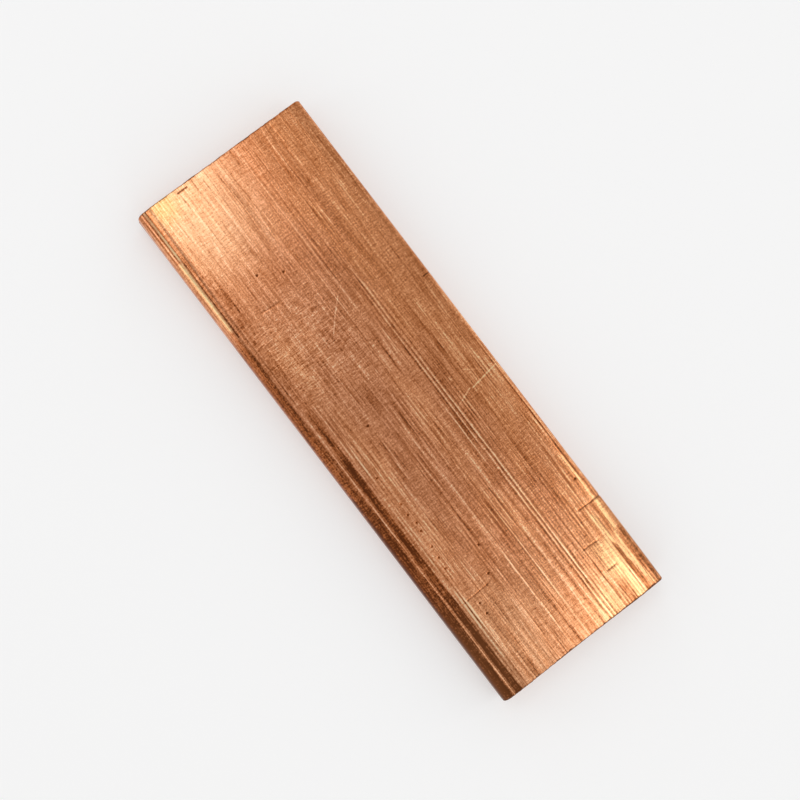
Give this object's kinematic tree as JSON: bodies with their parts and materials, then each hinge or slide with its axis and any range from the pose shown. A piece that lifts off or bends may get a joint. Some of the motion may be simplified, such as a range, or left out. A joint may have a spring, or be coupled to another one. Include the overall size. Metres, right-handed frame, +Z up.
{
  "type": "copper flat bar",
  "caption": "Short length of flat rectangular copper bar with rounded long edges and sawn ends, used as raw stock.",
  "frame": {"origin": "centre of the underside, midway between the sawn ends and midway across the width", "axes": "+X along the length, +Y across the width towards the side with the sharper long corners, +Z up through the thickness"},
  "size_m": [0.12, 0.04, 0.008],
  "materials": {
    "copper": "satin"
  },
  "bodies": {
    "root": {"flat_bar": "copper"}
  },
  "joints": []
}
